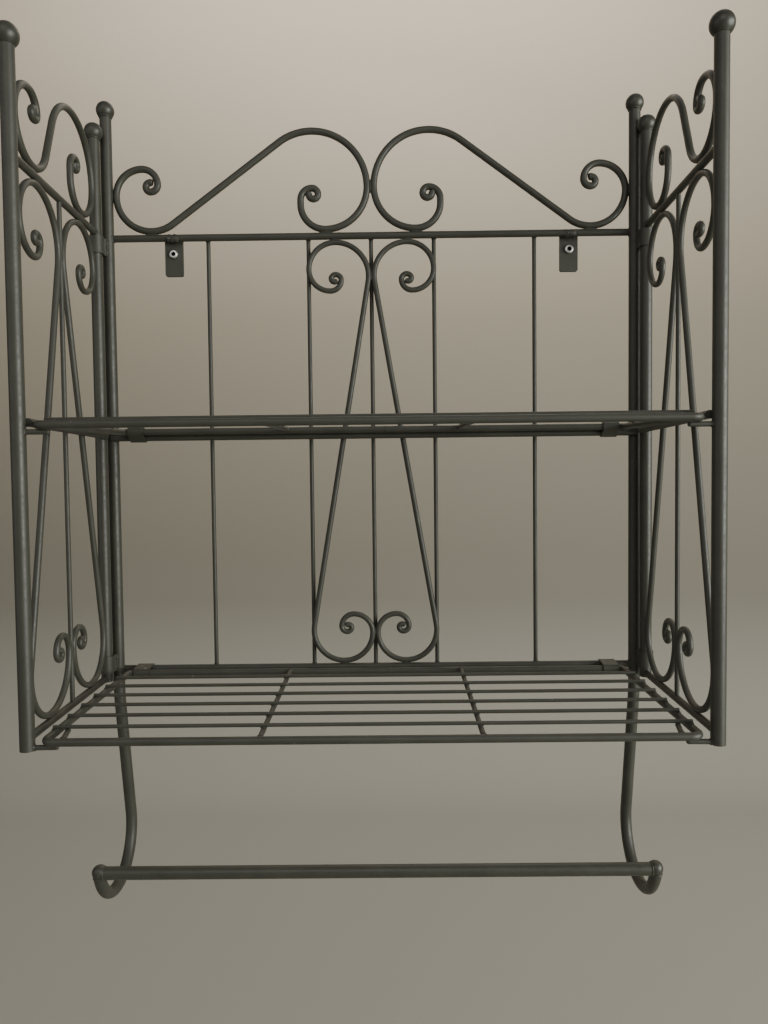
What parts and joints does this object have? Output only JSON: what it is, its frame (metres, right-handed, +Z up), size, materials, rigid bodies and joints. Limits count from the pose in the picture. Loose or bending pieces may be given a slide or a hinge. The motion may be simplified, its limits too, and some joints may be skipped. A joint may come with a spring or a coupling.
{
  "type": "folding wall shelf",
  "caption": "Folding wall shelf of painted steel bar with scrollwork back and sides, wire shelves that fold up, hinged side frames and a towel rail below.",
  "frame": {"origin": "midpoint between the two wall screw holes, on the back faces of the wall tabs", "axes": "+X to the right seen from the front, +Y towards the wall, +Z up"},
  "size_m": [0.5102, 0.2216, 0.7215],
  "materials": {
    "painted_steel": "satin"
  },
  "bodies": {
    "back_frame": {"left_back_post": "painted_steel", "right_back_post": "painted_steel", "back_finials": "painted_steel", "back_top_bar": "painted_steel", "back_middle_bar": "painted_steel", "back_bottom_bar": "painted_steel", "back_wires": "painted_steel", "left_crest_scroll": "painted_steel", "right_crest_scroll": "painted_steel", "left_heart_scroll": "painted_steel", "right_heart_scroll": "painted_steel", "left_wall_tab": "painted_steel", "right_wall_tab": "painted_steel", "left_top_strap": "painted_steel", "left_bottom_strap": "painted_steel", "right_top_strap": "painted_steel", "right_bottom_strap": "painted_steel", "left_upper_clip": "painted_steel", "right_upper_clip": "painted_steel", "left_lower_clip": "painted_steel", "right_lower_clip": "painted_steel", "left_towel_arm": "painted_steel", "right_towel_arm": "painted_steel", "towel_rail": "painted_steel"},
    "left_side_frame": {"left_rear_post": "painted_steel", "left_front_post": "painted_steel", "left_side_finials": "painted_steel", "left_side_top_bar": "painted_steel", "left_side_middle_bar": "painted_steel", "left_side_bottom_bar": "painted_steel", "left_side_crest_scroll": "painted_steel", "left_side_front_scroll": "painted_steel", "left_side_rear_scroll": "painted_steel", "left_side_wire": "painted_steel", "left_shelf_pegs": "painted_steel"},
    "right_side_frame": {"right_rear_post": "painted_steel", "right_front_post": "painted_steel", "right_side_finials": "painted_steel", "right_side_top_bar": "painted_steel", "right_side_middle_bar": "painted_steel", "right_side_bottom_bar": "painted_steel", "right_side_crest_scroll": "painted_steel", "right_side_front_scroll": "painted_steel", "right_side_rear_scroll": "painted_steel", "right_side_wire": "painted_steel", "right_shelf_pegs": "painted_steel"},
    "upper_shelf": {"upper_shelf_frame": "painted_steel", "upper_shelf_rods": "painted_steel", "upper_shelf_braces": "painted_steel", "upper_shelf_stubs": "painted_steel"},
    "lower_shelf": {"lower_shelf_frame": "painted_steel", "lower_shelf_rods": "painted_steel", "lower_shelf_braces": "painted_steel", "lower_shelf_stubs": "painted_steel"}
  },
  "joints": [
    {"name": "left_side_hinge", "type": "hinge", "parent": "back_frame", "child": "left_side_frame", "pos_m": [-0.247, -0.018, 0], "axis": [0, 0, -1], "range_deg": [0, 92]},
    {"name": "right_side_hinge", "type": "hinge", "parent": "back_frame", "child": "right_side_frame", "pos_m": [0.247, -0.018, 0], "axis": [0, 0, 1], "range_deg": [0, 92]},
    {"name": "upper_shelf_fold", "type": "hinge", "parent": "back_frame", "child": "upper_shelf", "pos_m": [0, -0.0193, -0.163], "axis": [-1, 0, 0], "range_deg": [0, 90]},
    {"name": "lower_shelf_fold", "type": "hinge", "parent": "back_frame", "child": "lower_shelf", "pos_m": [0, -0.0193, -0.3833], "axis": [-1, 0, 0], "range_deg": [0, 90]}
  ]
}
